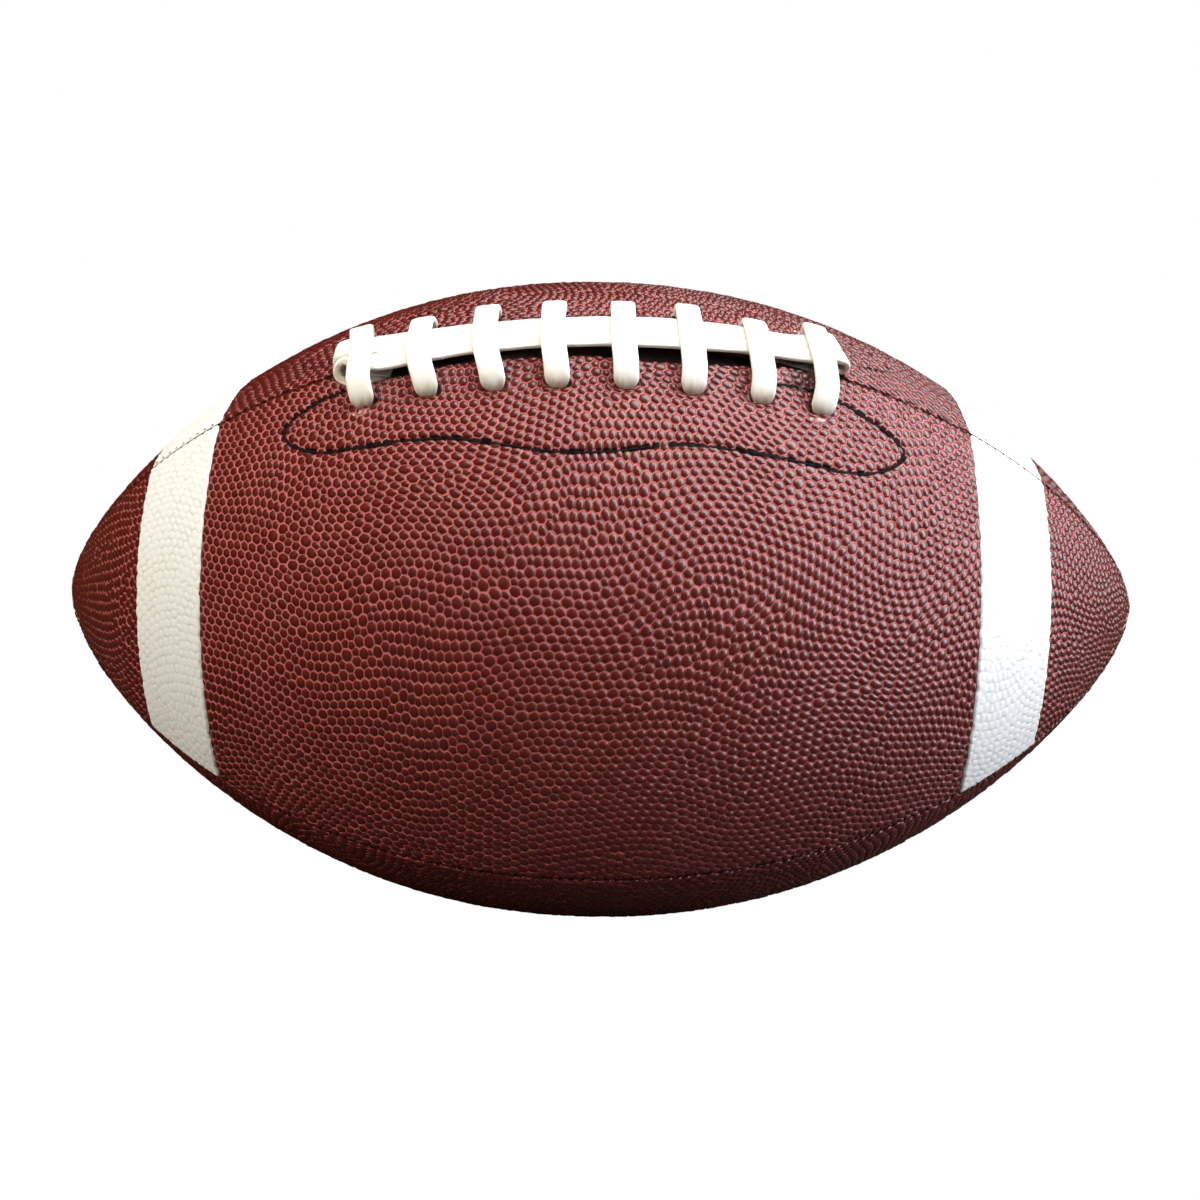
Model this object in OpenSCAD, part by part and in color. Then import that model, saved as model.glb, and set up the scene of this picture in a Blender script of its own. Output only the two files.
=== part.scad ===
// American football: four leather panels, laced over an air bladder.
// X runs along the ball, Z is up, and the ball rests on the middle of its bottom panel.
// The panels face up, forward (-Y), down and back, and the lacing closes the seam between top and front.

/* [Ball] */
// Length of the ball from tip to tip
ball_len = 286; // [276:1:296]
// Distance between the middles of two opposite panels
ball_d = 166.5; // [158:0.5:174]
// How far each panel's own axis of curvature lies behind the axis of the ball
axis_drop = 11.5; // [9:0.5:13]
// Fullness of the middle of the ball, as a power of the place along it
fullness_share = 2.09; // [2.02:0.01:2.2]
// Taper towards the tips, as a power of what the fullness leaves
taper_share = 0.79; // [0.76:0.01:0.82]

/* [Leather] */
// Thickness of the leather
leather_t = 2.1; // [1.8:0.1:2.4]
// Thickness of the cloth lining glued behind each panel
lining_t = 0.7; // [0.5:0.1:0.9]
// Thickness of the glue between two layers
glue_t = 0.05; // [0.03:0.01:0.1]
// Depth of the edge that is turned in at a seam, measured from the back of the leather
allowance = 4; // [3:0.2:4.2]
// Gap between the two turned edges of a seam
seam_gap = 0.2; // [0.1:0.05:0.3]
// Width of the groove along a seam
groove_w = 2.8; // [2.2:0.1:3.6]
// Depth of the groove along a seam
groove_depth = 1; // [0.9:0.1:1.3]
// Depth of the flat that the ball's weight presses into its underside
press = 0.15; // [0.1:0.05:0.3]
// Thickness of the thread that closes the seams
seam_thread_d = 0.8; // [0.5:0.1:0.8]

/* [Stripes] */
// Distance from a tip to the middle of its stripe, along the ball
stripe_from_tip = 44; // [39:1:49]
// Width of a stripe along the ball
stripe_w = 20.4; // [16:0.2:24]
// Thickness of the white paint
paint_t = 0.12; // [0.08:0.02:0.2]

/* [Lacing] */
// Number of crossbars
bar_count = 8; // [6:1:8]
// Distance from one crossbar to the next
bar_pitch = 14.7; // [13:0.1:15.2]
// Angle by which the crossbars lean along the ball
bar_lean = 2.5; // [0:0.5:6]
// Width of the lace
lace_w = 5.6; // [5:0.1:6.4]
// Thickness of the lace
lace_t = 1.8; // [1.5:0.1:2]
// Distance between the two rows of lace holes
hole_spread = 25.2; // [24:0.2:28]
// Clearance of the lace in its holes
hole_gap = 0.3; // [0.2:0.05:0.4]
// Width of the opening under the lacing, at its middle
slit_w = 11; // [9:0.2:12]

/* [Facings and tongue] */
// Length of the line of stitches round a facing
facing_len = 142; // [138:1:146]
// Distance from the opening's middle line to the furthest stitch
facing_reach = 29.3; // [28:0.1:31]
// Leather left outside the stitches of a facing
facing_margin = 2.5; // [2:0.1:3]
// Thickness of a facing
facing_t = 1; // [0.8:0.1:1.2]
// Room between the lace and the nearest stitch of a facing
stitch_room = 1; // [0.6:0.1:1.4]
// Thickness of the thread that holds the facings
facing_thread_d = 0.7; // [0.5:0.1:0.9]
// Thickness of the tongue
tongue_t = 1.2; // [0.8:0.1:1.4]

/* [Bladder and valve] */
// Thickness of the bladder's wall
bladder_t = 0.8; // [0.6:0.1:1.2]
// Room between the bladder and what presses on it
bladder_gap = 0.3; // [0.2:0.05:0.4]
// Diameter of the needle hole
needle_d = 2.2; // [1.8:0.1:2.4]
// Outer diameter of the valve's stem
stem_d = 8.4; // [7.6:0.2:9]
// Diameter of the valve's core
core_d = 5.2; // [4.6:0.2:5.6]
// Diameter of the flange that joins the valve to the bladder
flange_d = 26; // [20:1:30]
// Diameter of the patch over the flange
patch_d = 34; // [31:1:40]
// Clearance round the stem in the leather
stem_gap = 0.3; // [0.2:0.05:0.5]
// Clearance of the core in the stem
core_gap = 0.05; // [0.03:0.01:0.1]

/* [Hidden] */

leather_col = [0.42, 0.17, 0.12];
lining_col = [0.85, 0.82, 0.74];
paint_col = [0.93, 0.92, 0.88];
lace_col = [0.95, 0.93, 0.87];
rubber_col = [0.1, 0.1, 0.1];
thread_col = [0.08, 0.06, 0.06];
hide_col = [0.3, 0.2, 0.16];

// Overrun of a cut past the face that it leaves
over = 1;
// Short stretch over which a slope is measured
probe = 1;
// Half the ball
ball_half = ball_len / 2;
mid_r = ball_d / 2;
stripe_x = ball_half - stripe_from_tip;
// A layer ends this many times its depth short of the tip
tip_share = 1.5;
// Places along the ball where a panel's outline is worked out
stations = 36;
// Angle over which a panel's sheet is swept, a little more than the panel needs
sweep = 94;
// The panel's own axis seen from the seam plane
drop_side = axis_drop / sqrt(2);

// Depth of each layer's faces below the outside of the leather
lining_in = leather_t + glue_t;
lining_out = lining_in + lining_t;
facing_in = lining_out + glue_t;
facing_out = facing_in + facing_t;
run_in = facing_out + glue_t;
run_out = run_in + lace_t;
tongue_in = run_out + glue_t;
tongue_out = tongue_in + tongue_t;
edge_out = leather_t + allowance;
bladder_in = facing_out - facing_t / 2;
bladder_out = bladder_in + bladder_t;
// The bladder's ends stay short of the turned edges at the tips
bladder_end = 2 * edge_out - facing_out + leather_t;

// Radii of a crossbar's shoulders and of a fold, as shares of the lace's thickness
shoulder_share = 3.3;
fold_share = 1.4;
// Radius of a crossbar's corners, as a share of the lace's width
corner_share = 0.42;
// Lacing places, seen from straight above the seam
hole_y = hole_spread / 2;
strand_gap = hole_gap;
strand_y = (strand_gap + lace_w) / 2;
strand_edge = strand_gap / 2 + lace_w;
// Underside of the two long strands above the seam's corner, and underside of the crossbars
strand_low = -lace_t / 9;
bar_low = strand_low + lace_t + glue_t;
shoulder_r = shoulder_share * lace_t;
bar_end_r = corner_share * lace_w;
fold_r = fold_share * lace_t;
strand_half = (bar_count - 1) * bar_pitch / 2 + lace_w * 3 / 4;
// Middle of the legs in which the strands go in
fold_x = strand_half + fold_r * (1 - sin(slope(strand_half)));
leg_depth = run_out * 2;
// Beyond this place on the laced seam the edges are turned in and sewn
sewn_from = strand_half + 3 * fold_r;
turned_to = ball_half - 3 * edge_out;
thread_to = ball_half - edge_out;
tongue_half = sewn_from - lace_t;
tongue_reach = hole_y + lace_w * 3 / 4;
// Share of the opening's width that is left at its ends
slit_end_share = 0.5;

// The outline of the facing's stitches: shares of half its length, and of the way out from its near edge
facing_near = strand_edge + stitch_room;
facing_shares = [[0.78, 0], [0.85, 0.051], [0.93, 0.142], [1, 0.298], [0.97, 0.415], [0.92, 0.558],
    [0.85, 0.675], [0.71, 0.753], [0.57, 0.779], [0.43, 0.792], [0.31, 0.831], [0.2, 0.909], [0.1, 0.974]];

valve_top = mid_r - leather_t / 5;
core_top = valve_top - leather_t / 10;
lead_in = 3 * leather_t / 2;
stem_low = mid_r - bladder_out - 2.5 * core_d / 2;
core_floor = core_gap + bladder_t;

// Half-width of the ball at a share u of its half-length
function girth(u) = pow(1 - pow(abs(u), fullness_share), taper_share);
function layer_half(inset) = ball_half - tip_share * inset;
function layer_r(x, inset) = (mid_r - inset) * girth(min(abs(x) / layer_half(inset), 1));
// Height of a panel's layer in the seam's frame, at the distance y to the side of the seam
function roof(x, y, inset) = sqrt(pow(layer_r(x, inset) + axis_drop, 2) - pow(abs(y) + drop_side, 2)) - drop_side;
// Angle by which the laced seam falls at a place along the ball
function slope(x) = atan2(roof(x - probe, 0, 0) - roof(x + probe, 0, 0), 2 * probe);

function skin(inset) = [for (i = [0:stations]) let (u = -cos(180 * i / stations))
    [axis_drop + (mid_r - inset) * girth(u), layer_half(inset) * u]];
function flipped(list) = [for (i = [len(list) - 1:-1:0]) list[i]];
function unit(v) = v / norm(v);
function sum_of(a, b, t) = a * (1 - t) + b * t;

// A smooth curve through a list of points, with steps pieces between two of them
function curve_at(p, q, r, s, t) = (2 * q + (r - p) * t + (2 * p - 5 * q + 4 * r - s) * t * t
    + (3 * q - p - 3 * r + s) * t * t * t) / 2;
function smooth(pts, steps) = [for (i = [0:len(pts) - 2]) for (j = [0:steps - 1])
    curve_at(pts[max(i - 1, 0)], pts[i], pts[i + 1], pts[min(i + 2, len(pts) - 1)], j / steps),
    pts[len(pts) - 1]];

function facing_line(half, reach, steps) = smooth(concat(
    [for (s = facing_shares) [-s[0] * half, sum_of(facing_near, reach, s[1])]], [[0, reach]],
    [for (s = flipped(facing_shares)) [s[0] * half, sum_of(facing_near, reach, s[1])]]), steps);

function bar_x(i) = (i - (bar_count - 1) / 2) * bar_pitch;
// Place along the ball of a crossbar's leg at one side of the opening
function leg_x(i, side) = bar_x(i) - side * hole_y * sin(bar_lean);
function run_side(i) = i % 2 == 0 ? 1 : -1;

// Frames: a panel's middle at +Z, and a seam at +Z with its panels at the sides
module at_panel(n) {
    rotate([90 * n, 0, 0]) children();
}
module at_seam(n) {
    rotate([90 * n + 45, 0, 0]) children();
}
// Inside a seam's frame, the panel at that side
module at_side(side) {
    rotate([-45 * side, 0, 0]) children();
}
module at_bar(i) {
    translate([bar_x(i), 0, roof(bar_x(i), 0, 0)])
        rotate([0, slope(bar_x(i)), 0])
            rotate([0, 0, bar_lean])
                children();
}

// A sheet between two depths, wide enough for one panel, with its middle at +Z
module layer(top, low) {
    translate([0, 0, -axis_drop]) rotate([0, 90, 0])
        rotate_extrude(angle = sweep, start = 180 - sweep / 2, $fn = 72)
            polygon(concat(skin(top), flipped(skin(low))));
}
// Everything deeper than a layer's face
module core(top) {
    translate([0, 0, -axis_drop]) rotate([0, 90, 0])
        rotate_extrude(angle = sweep, start = 180 - sweep / 2, $fn = 72)
            polygon(concat([[0, -layer_half(top)]], skin(top), [[0, layer_half(top)]]));
}
// The room between a panel's two seam planes, moved in by a gap
module wedge(gap) {
    translate([-ball_len, 0, gap * sqrt(2)]) rotate([90, 0, 90])
        linear_extrude(2 * ball_len)
            polygon([[0, 0], [ball_d, ball_d], [-ball_d, ball_d]]);
}
// A box at one side of a seam, from x0 to x1 along it and from y0 to y1 to its side
module side_box(side, x0, x1, y0, y1) {
    translate([x0, side > 0 ? y0 : -y1, 0]) cube([x1 - x0, y1 - y0, ball_d]);
}

// Parts of one panel
module turned_edge(side, from) {
    for (end = from > 0 ? [-1, 1] : [0])
        intersection() {
            layer(leather_t / 2, edge_out);
            rotate([45 * side, 0, 0])
                side_box(side, end == 1 ? from : -turned_to, end == -1 ? -from : turned_to,
                    seam_gap / 2, seam_gap / 2 + leather_t);
        }
}
module groove(side) {
    intersection() {
        layer(-over, groove_depth);
        rotate([45 * side, 0, 0])
            translate([-ball_len, -groove_w / 2, 0]) cube([2 * ball_len, groove_w, ball_d]);
    }
}
module slot(length, width) {
    square([length - width, width], center = true);
    for (s = [-1, 1])
        translate([s * (length - width) / 2, 0]) circle(d = width, $fn = 24);
}
// The opening under the lacing and the holes for the lace, in the seam's frame
module lace_cuts() {
    end_w = slit_w * slit_end_share;
    rise = (slit_w - end_w) / 2;
    slit_r = (pow(strand_half, 2) + pow(rise, 2)) / (2 * rise);
    linear_extrude(ball_d) intersection() {
        square([2 * strand_half, slit_w + over], center = true);
        intersection_for(s = [-1, 1])
            translate([0, s * (slit_r - slit_w / 2)]) circle(r = slit_r, $fn = 144);
    }
    for (i = [0:bar_count - 1], side = [-1, 1])
        at_bar(i) translate([0, side * hole_y, -leg_depth])
            linear_extrude(leg_depth + over) slot(lace_w + 2 * hole_gap, lace_t + 2 * hole_gap);
    for (s = [-1, 1])
        translate([s * fold_x - lace_t / 2 - hole_gap, -strand_edge - hole_gap, 0])
            cube([lace_t + 2 * hole_gap, 2 * (strand_edge + hole_gap), ball_d]);
}

// lace_side is 1 or -1 where that side of the panel has the lacing, else 0
module panel(lace_side) {
    difference() {
        union() {
            intersection() {
                layer(0, leather_t);
                wedge(seam_gap / 2);
            }
            for (s = [-1, 1]) turned_edge(s, s == lace_side ? sewn_from : 0);
        }
        for (s = [-1, 1]) groove(s);
        if (lace_side != 0) rotate([45 * lace_side, 0, 0]) lace_cuts();
        if (lace_side == 0) children();
    }
}
// What the ground takes off the lowest place of the ball
module pressed() {
    translate([-ball_half, -mid_r, mid_r - press]) cube(ball_len);
}
module lining(lace_side) {
    difference() {
        intersection() {
            layer(lining_in, lining_out);
            wedge(seam_gap / 2 + leather_t + glue_t);
        }
        if (lace_side != 0) rotate([45 * lace_side, 0, 0]) lace_cuts();
        if (lace_side == 0) children();
    }
}
module stripe(end) {
    color(paint_col) intersection() {
        layer(-paint_t, 0);
        wedge(groove_w / 2);
        translate([end * stripe_x - stripe_w / 2, -ball_d / 2, 0]) cube([stripe_w, ball_d, ball_d]);
    }
}
module facing(side) {
    half = facing_len / 2 + facing_margin;
    inner = seam_gap / 2 + leather_t;
    end_x = facing_shares[0][0] * half;
    difference() {
        intersection() {
            at_side(side) layer(facing_in, facing_out);
            linear_extrude(ball_d) scale([1, side])
                polygon(concat([[-end_x, inner]], facing_line(half, facing_reach + facing_margin, 2),
                    [[end_x, inner]]));
        }
        lace_cuts();
    }
}
// A strip at both sides of the laced seam, or at one, between two depths
module strip(sides, top, low, x0, x1, y0, y1) {
    for (s = sides)
        intersection() {
            at_side(s) layer(top, low);
            side_box(s, x0, x1, y0, y1);
        }
}
module tongue() {
    color(hide_col) at_seam(0)
        strip([-1, 1], tongue_in, tongue_out, -tongue_half, tongue_half, 0, tongue_reach);
}

// The lace's route. Two long strands lie side by side over the opening, fold over its ends and go in.
// The crossbars go over them and down through the holes, and are joined by runs inside the ball.
function strand_line() = let (steps = 14, turn = 6, tilt = slope(strand_half),
    z_end = roof(strand_half, 0, 0) + strand_low + lace_t / 2,
    cx = strand_half - fold_r * sin(tilt), cz = z_end - fold_r * cos(tilt),
    fold = [for (i = [1:turn]) let (a = 90 - tilt - (90 - tilt) * i / turn)
        [cx + fold_r * cos(a), cz + fold_r * sin(a)]],
    leg = [[cx + fold_r, cz - leg_depth]])
    concat([for (p = flipped(concat(fold, leg))) [-p[0], p[1]]],
        [for (i = [0:steps]) let (x = sum_of(-strand_half, strand_half, i / steps))
            [x, roof(x, 0, 0) + strand_low + lace_t / 2]],
        fold, leg);
// Both edges of a ribbon of thickness t along a line in one plane
function ribbon(line, t) = let (last = len(line) - 1,
    side = [for (i = [0:last]) let (d = unit(line[min(i + 1, last)] - line[max(i - 1, 0)])) [-d[1], d[0]]])
    concat([for (i = [0:last]) line[i] + side[i] * t / 2],
        [for (i = [last:-1:0]) line[i] - side[i] * t / 2]);
module strand(side) {
    translate([0, side * strand_y + lace_w / 2, 0]) rotate([90, 0, 0])
        linear_extrude(lace_w) polygon(ribbon(strand_line(), lace_t));
}
function arc(cx, cy, r, from, to, steps) = [for (i = [0:steps]) let (a = sum_of(from, to, i / steps))
    [cx + r * cos(a), cy + r * sin(a)]];
// One crossbar: an arch with rounded shoulders and corners, and its two legs
module crossbar() {
    out_y = hole_y + lace_t / 2;
    top_z = bar_low + lace_t;
    cy = out_y - shoulder_r;
    cz = top_z - shoulder_r;
    turn = 6;
    intersection() {
        rotate([90, 0, 90]) translate([0, 0, -lace_w / 2]) linear_extrude(lace_w)
            polygon(concat([[out_y, -leg_depth]], arc(cy, cz, shoulder_r, 0, 90, turn),
                arc(-cy, cz, shoulder_r, 90, 180, turn), [[-out_y, -leg_depth]],
                [[lace_t - out_y, -leg_depth]], arc(-cy, cz, shoulder_r - lace_t, 180, 90, turn),
                arc(cy, cz, shoulder_r - lace_t, 90, 0, turn), [[out_y - lace_t, -leg_depth]]));
        translate([0, 0, -leg_depth - over]) linear_extrude(leg_depth + top_z + 2 * over)
            polygon(concat(
                arc(lace_w / 2 - bar_end_r, out_y - bar_end_r, bar_end_r, 0, 90, turn),
                arc(bar_end_r - lace_w / 2, out_y - bar_end_r, bar_end_r, 90, 180, turn),
                arc(bar_end_r - lace_w / 2, bar_end_r - out_y, bar_end_r, 180, 270, turn),
                arc(lace_w / 2 - bar_end_r, bar_end_r - out_y, bar_end_r, 270, 360, turn)));
    }
}
module lace() {
    last = bar_count - 1;
    // The two long strands are joined inside at the left end. At the right end one is joined to the last
    // crossbar on link_side, and the other is the lace's tucked start.
    link_side = -run_side(last - 1);
    link_x = leg_x(last, link_side);
    half_w = lace_w / 2;
    end_x = fold_x + lace_t / 2;
    color(lace_col) at_seam(0) union() {
        difference() {
            union() {
                for (i = [0:last]) at_bar(i) crossbar();
                for (s = [-1, 1]) strand(s);
            }
            for (s = [-1, 1]) at_side(s) core(run_out - lace_t / 4);
        }
        for (i = [0:last - 1])
            strip([run_side(i)], run_in, run_out, leg_x(i, run_side(i)) - half_w,
                leg_x(i + 1, run_side(i)) + half_w, hole_y - half_w, hole_y + half_w);
        strip([-1, 1], run_in, run_out, -end_x, lace_w - end_x, 0, strand_edge);
        strip([-link_side], run_in, run_out, end_x - 2 * lace_w, end_x, strand_gap / 2, strand_edge);
        strip([-run_side(0)], run_in, run_out, leg_x(0, -run_side(0)) - lace_w,
            leg_x(0, -run_side(0)) + half_w, hole_y - half_w, hole_y + half_w);
        intersection() {
            at_side(link_side) layer(run_in, run_out);
            linear_extrude(ball_d) scale([1, link_side])
                polygon([[end_x - lace_w, strand_gap / 2], [end_x, strand_gap / 2],
                    [end_x, strand_edge / 2], [link_x + half_w, hole_y + lace_t / 2],
                    [link_x - half_w, hole_y + lace_t / 2], [link_x - half_w, hole_y - half_w]]);
        }
    }
}

// A round layer of the bladder, about the axis of the ball
function bladder_line(inset) = [for (i = [0:stations]) let (u = -cos(180 * i / stations))
    [(mid_r - inset) * girth(u), (ball_half - bladder_end - (inset - bladder_in) * tip_share) * u]];
module bladder_body(inset) {
    rotate([0, 90, 0]) rotate_extrude($fn = 96) polygon(bladder_line(inset));
}
// Room that the tongue presses into the bladder
module pocket(grow) {
    room = bladder_gap + grow;
    at_seam(0) strip([-1, 1], -over, tongue_out + room, -tongue_half - room, tongue_half + room,
        0, tongue_reach + room);
}
module bladder() {
    color(rubber_col) difference() {
        bladder_body(bladder_in);
        pocket(0);
        difference() {
            bladder_body(bladder_out);
            pocket(bladder_t);
        }
        at_panel(3) cylinder(d = stem_d + 2 * core_gap, h = ball_d, $fn = 48);
    }
}

// The valve sits in the middle of the back panel
module stem_hole() {
    cylinder(d = stem_d + 2 * stem_gap, h = ball_d, $fn = 48);
}
module bladder_disc(disc_d, top, low) {
    intersection() {
        cylinder(d = disc_d, h = ball_d, $fn = 64);
        difference() {
            bladder_body(top);
            bladder_body(low);
        }
    }
}
module valve_boot() {
    flange_in = bladder_out + glue_t;
    color(rubber_col) at_panel(3) difference() {
        union() {
            bladder_disc(flange_d, flange_in, flange_in + bladder_t);
            translate([0, 0, stem_low]) cylinder(d = stem_d, h = valve_top - stem_low, $fn = 48);
        }
        translate([0, 0, stem_low - over])
            cylinder(d = core_d + 2 * core_gap, h = ball_d, $fn = 48);
    }
}
module valve_core() {
    bore_top = core_top - lead_in;
    color(hide_col) at_panel(3) difference() {
        translate([0, 0, stem_low]) cylinder(d = core_d, h = core_top - stem_low, $fn = 48);
        translate([0, 0, stem_low + core_floor]) cylinder(d = needle_d, h = ball_d, $fn = 32);
        translate([0, 0, bore_top])
            cylinder(d1 = needle_d, d2 = (needle_d + core_d) / 2, h = lead_in + glue_t, $fn = 32);
    }
}
module valve_patch() {
    patch_in = bladder_out + bladder_t + 2 * glue_t;
    color(rubber_col) at_panel(3) difference() {
        bladder_disc(patch_d, patch_in, patch_in + bladder_t);
        cylinder(d = stem_d + 2 * core_gap, h = ball_d, $fn = 48);
    }
}

// A round thread along a list of points
module tube(path, d) {
    sides = 6;
    last = len(path) - 1;
    rings = [for (i = [0:last]) let (t = unit(path[min(i + 1, last)] - path[max(i - 1, 0)]),
        a = unit(cross(t, [0, 0, 1])), b = cross(a, t))
        for (j = [0:sides - 1]) path[i] + (a * cos(360 * j / sides) + b * sin(360 * j / sides)) * d / 2];
    walls = [for (i = [0:last - 1], j = [0:sides - 1]) let (k = (j + 1) % sides, p = i * sides, q = p + sides)
        each [[p + j, q + j, q + k], [p + j, q + k, p + k]]];
    polyhedron(rings, concat(walls, [[for (j = [0:sides - 1]) j]],
        [[for (j = [sides - 1:-1:0]) last * sides + j]]));
}
function seam_line(x0, x1, steps) = [for (i = [0:steps]) let (x = sum_of(x0, x1, i / steps))
    [x, 0, roof(x, 0, groove_depth) + seam_thread_d / 2 + glue_t / 2]];
module seam_thread(n) {
    color(thread_col) at_seam(n)
        tube(seam_line(-thread_to, thread_to, stations * 5 / 3), seam_thread_d);
}
module lace_seam_thread() {
    color(thread_col) at_seam(0) {
        tube(seam_line(sewn_from, thread_to, stations / 2), seam_thread_d);
        tube(seam_line(-thread_to, -sewn_from, stations / 2), seam_thread_d);
    }
}
module facing_thread(side) {
    rise = facing_thread_d / 2 + glue_t;
    color(thread_col) at_seam(0)
        tube([for (p = facing_line(facing_len / 2, facing_reach, 3))
            [p[0], side * p[1], roof(p[0], p[1], -rise)]], facing_thread_d);
}

color(leather_col) at_panel(1) panel(-1);  // panel_front
color(leather_col) at_panel(0) panel(1);  // panel_top
color(leather_col) at_panel(2) panel(0) pressed();  // panel_bottom
color(leather_col) at_panel(3) panel(0) stem_hole();  // panel_back
color(lining_col) at_panel(1) lining(-1);  // lining_front
color(lining_col) at_panel(0) lining(1);  // lining_top
color(lining_col) at_panel(2) lining(0);  // lining_bottom
color(lining_col) at_panel(3) lining(0) stem_hole();  // lining_back
at_panel(1) stripe(-1);  // stripe_front_left
at_panel(1) stripe(1);  // stripe_front_right
at_panel(0) stripe(-1);  // stripe_top_left
at_panel(0) stripe(1);  // stripe_top_right
color(hide_col) at_seam(0) facing(-1);  // facing_front
color(hide_col) at_seam(0) facing(1);  // facing_top
tongue();
lace();
bladder();
valve_boot();
valve_core();
valve_patch();
lace_seam_thread();  // seam_thread_lace
seam_thread(1);  // seam_thread_front
seam_thread(2);  // seam_thread_bottom
seam_thread(3);  // seam_thread_back
facing_thread(-1);  // facing_thread_front
facing_thread(1);  // facing_thread_top
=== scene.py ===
import math

import bpy
import numpy as np
from mathutils import Matrix, Vector
from mathutils.geometry import delaunay_2d_cdt


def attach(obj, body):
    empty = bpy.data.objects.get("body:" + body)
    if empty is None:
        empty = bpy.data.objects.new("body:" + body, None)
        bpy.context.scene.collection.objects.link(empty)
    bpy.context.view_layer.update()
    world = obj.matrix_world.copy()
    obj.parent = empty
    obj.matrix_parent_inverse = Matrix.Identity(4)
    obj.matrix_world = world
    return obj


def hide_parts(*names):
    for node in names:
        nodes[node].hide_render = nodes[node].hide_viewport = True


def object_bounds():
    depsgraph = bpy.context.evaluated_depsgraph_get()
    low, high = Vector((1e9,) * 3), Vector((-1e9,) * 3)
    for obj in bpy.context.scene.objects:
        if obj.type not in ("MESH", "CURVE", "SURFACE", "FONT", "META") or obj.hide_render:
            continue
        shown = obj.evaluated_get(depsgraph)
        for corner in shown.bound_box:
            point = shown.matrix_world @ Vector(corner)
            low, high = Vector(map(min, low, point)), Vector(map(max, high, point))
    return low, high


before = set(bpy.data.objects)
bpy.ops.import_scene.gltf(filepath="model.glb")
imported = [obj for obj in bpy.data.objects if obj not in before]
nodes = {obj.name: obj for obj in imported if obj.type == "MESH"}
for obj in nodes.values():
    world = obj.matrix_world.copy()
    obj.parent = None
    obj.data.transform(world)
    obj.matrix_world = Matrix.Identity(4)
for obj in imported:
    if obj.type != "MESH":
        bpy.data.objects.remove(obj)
cad_box = [list(corner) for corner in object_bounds()]
scene = bpy.context.scene


# Leather panels
# Four pointed panels of tanned cowhide, pressed with rows of rounded pebbles. The valleys between the
# pebbles stay a lighter red than their stained tops. The edges are turned in and sewn together, and the
# two panels beside the lacing are left open in between, over 120 mm.

half_length = 143.0
middle_radius = 83.25
axis_drop = 11.5
seam_share = math.sqrt(0.5)
pebble_pitch = 2.28
pebble_rise = 0.6
shoulder = 0.8
seam_gap = 0.12
open_gap = 0.6
valve_hole = 4.4
leather_thick = 2.1
flap_sewn, flap_open = 5.0, 3.4
tip_stop = 142.35
pressed_flat = 0.15
slit_half, hole_half, hole_reach = 1.7, 0.95, 2.6
stripe_place = 99.0
painted_half = 10.4
stitch_step = 2.6
back_rows, back_columns = 150, 64

along = half_length * np.sin(np.linspace(-math.pi / 2, math.pi / 2, 6001))
girth_line = middle_radius * (1 - np.abs(along / half_length) ** 2.09) ** 0.79
steps = np.hypot(np.diff(along), np.diff(girth_line))
arc_line = np.concatenate([[0], np.cumsum(steps)])
arc_line -= arc_line[-1] / 2
arc_end = arc_line[-1]
lean_line = np.clip(np.gradient(girth_line, along), -30, 30)

near_holes = np.array([-50.1, -35.3, -20.5, -6.6, 8.2, 22.7, 37.7, 51.2])
far_holes = np.array([-52.6, -38.0, -23.3, -8.4, 6.8, 21.1, 36.0, 49.4])
near_reach = np.array([10.8, 11.6, 12.3, 12.3, 12.3, 12.3, 11.9, 11.1])
far_reach = np.array([13.2, 11.8, 12.9, 12.9, 12.9, 13.6, 11.8, 14.3])
near_slit = ([-66, -60, -58.5, -56, -52, -43, -36, -30, -15, -8, 0, 14, 22, 30, 36, 44, 50, 53, 66],
             [0.12, 0.12, 1.2, 4.0, 5.0, 5.6, 4.9, 4.5, 4.7, 4.6, 4.4, 5.5, 5.2, 4.1, 3.0, 1.0, 0.7, 0.12, 0.12])
far_slit = ([-66, -60.8, -57, -40, 0, 40, 52, 56, 58, 66], [0.12, 0.12, 5.6, 5.4, 5.6, 5.4, 6.4, 5.0, 0.12, 0.12])
facing_places = [(-55.3, 6.1), (-61.3, 6.7), (-64, 7.5), (-67.2, 8.8), (-69.4, 10.5), (-70.2, 12.4), (-69.3, 14.8),
                 (-66, 17.8), (-60.6, 20.8), (-50, 22.4), (-31, 23.8), (-17.5, 26.8), (-8.7, 28.6), (0, 29),
                 (8, 28.3), (15.3, 26.7), (22, 25.8), (41, 25.4), (55.4, 25), (60.4, 24), (65.5, 21.5),
                 (68.9, 18.6), (71.2, 15.6), (70.6, 13.4), (67.8, 11.8), (59.6, 8.4), (54.8, 6.8), (48, 6.4),
                 (41, 6.9)]
lace_side = {"panel_top": -1, "panel_front": 1, "panel_bottom": 0, "panel_back": 0}
quarter = {"panel_top": 0, "panel_front": 1, "panel_bottom": 2, "panel_back": 3}


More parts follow.
